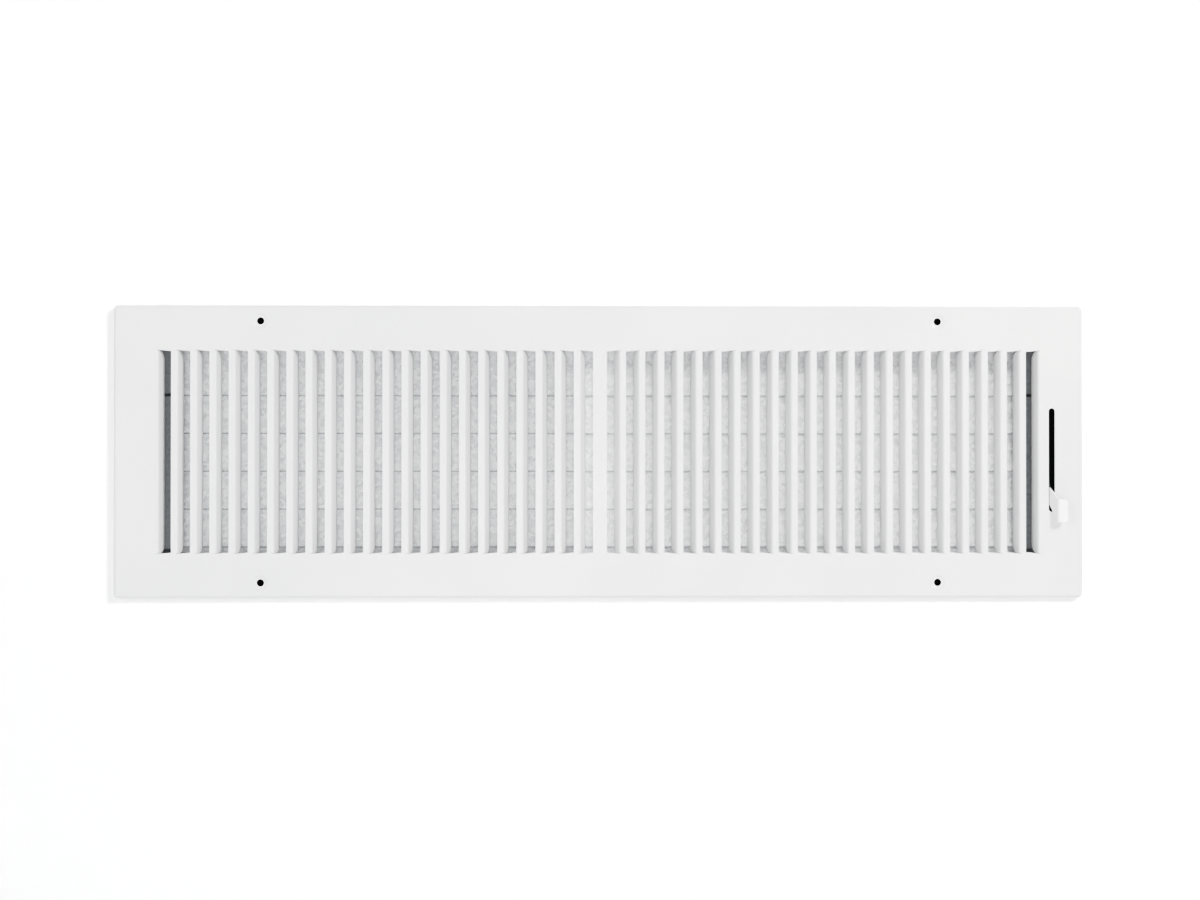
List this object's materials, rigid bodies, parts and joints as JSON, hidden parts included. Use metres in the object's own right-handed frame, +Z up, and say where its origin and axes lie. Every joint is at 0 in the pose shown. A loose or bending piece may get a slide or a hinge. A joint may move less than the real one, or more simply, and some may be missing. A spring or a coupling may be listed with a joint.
{
  "type": "sidewall register",
  "caption": "White stamped steel sidewall register: a louvered face deflecting air both ways, with a ganged multi-blade damper behind it worked by a lever at the right end.",
  "frame": {"origin": "middle of the wall opening, in the plane where the face's turned-back rim meets the wall", "axes": "+X to the right along the face, +Y into the wall, +Z up"},
  "size_m": [0.654, 0.0517, 0.1968],
  "materials": {
    "white_coat": "white baked powder coat, satin",
    "zinc_sheet": "pale galvanised sheet, satin",
    "pin_steel": "zinc plated steel",
    "bush_nylon": "natural nylon, matte"
  },
  "bodies": {
    "frame": {"face_plate": "white_coat", "top_rail": "zinc_sheet", "bottom_rail": "zinc_sheet", "left_end_plate": "zinc_sheet", "right_end_plate": "zinc_sheet", "corner_rivets": "pin_steel", "pivot_pins_left": "pin_steel", "pivot_pins_right": "pin_steel", "shaft_bush": "bush_nylon", "friction_washer": "pin_steel"},
    "lever_drive": {"lever": "white_coat", "lever_shaft": "pin_steel", "blade_3": "zinc_sheet"},
    "damper_blade_1": {"blade_1": "zinc_sheet"},
    "damper_blade_2": {"blade_2": "zinc_sheet"},
    "damper_blade_4": {"blade_4": "zinc_sheet"},
    "damper_blade_5": {"blade_5": "zinc_sheet"},
    "link": {"tie_bar": "pin_steel", "tie_bar_rivets": "pin_steel"}
  },
  "joints": [
    {"name": "damper_lever", "type": "hinge", "parent": "frame", "child": "lever_drive", "pos_m": [0, 0.02146, 0], "axis": [-1, 0, 0], "range_deg": [0, 85]},
    {"name": "blade_1_pivot", "type": "hinge", "parent": "frame", "child": "damper_blade_1", "pos_m": [0, 0.02146, 0.0514], "axis": [-1, 0, 0], "range_deg": [0, 85]},
    {"name": "blade_2_pivot", "type": "hinge", "parent": "frame", "child": "damper_blade_2", "pos_m": [0, 0.02146, 0.0257], "axis": [-1, 0, 0], "range_deg": [0, 85]},
    {"name": "blade_4_pivot", "type": "hinge", "parent": "frame", "child": "damper_blade_4", "pos_m": [0, 0.02146, -0.0257], "axis": [-1, 0, 0], "range_deg": [0, 85]},
    {"name": "blade_5_pivot", "type": "hinge", "parent": "frame", "child": "damper_blade_5", "pos_m": [0, 0.02146, -0.0514], "axis": [-1, 0, 0], "range_deg": [0, 85]},
    {"name": "link_swing", "type": "hinge", "parent": "lever_drive", "child": "link", "pos_m": [0.289, 0.02883, 0.00676], "axis": [-1, 0, 0], "range_deg": [-85, 0]}
  ],
  "couplings": [
    {"joint": "blade_1_pivot", "follows": "damper_lever", "ratio": 1},
    {"joint": "blade_2_pivot", "follows": "damper_lever", "ratio": 1},
    {"joint": "blade_4_pivot", "follows": "damper_lever", "ratio": 1},
    {"joint": "blade_5_pivot", "follows": "damper_lever", "ratio": 1},
    {"joint": "link_swing", "follows": "damper_lever", "ratio": -1}
  ]
}
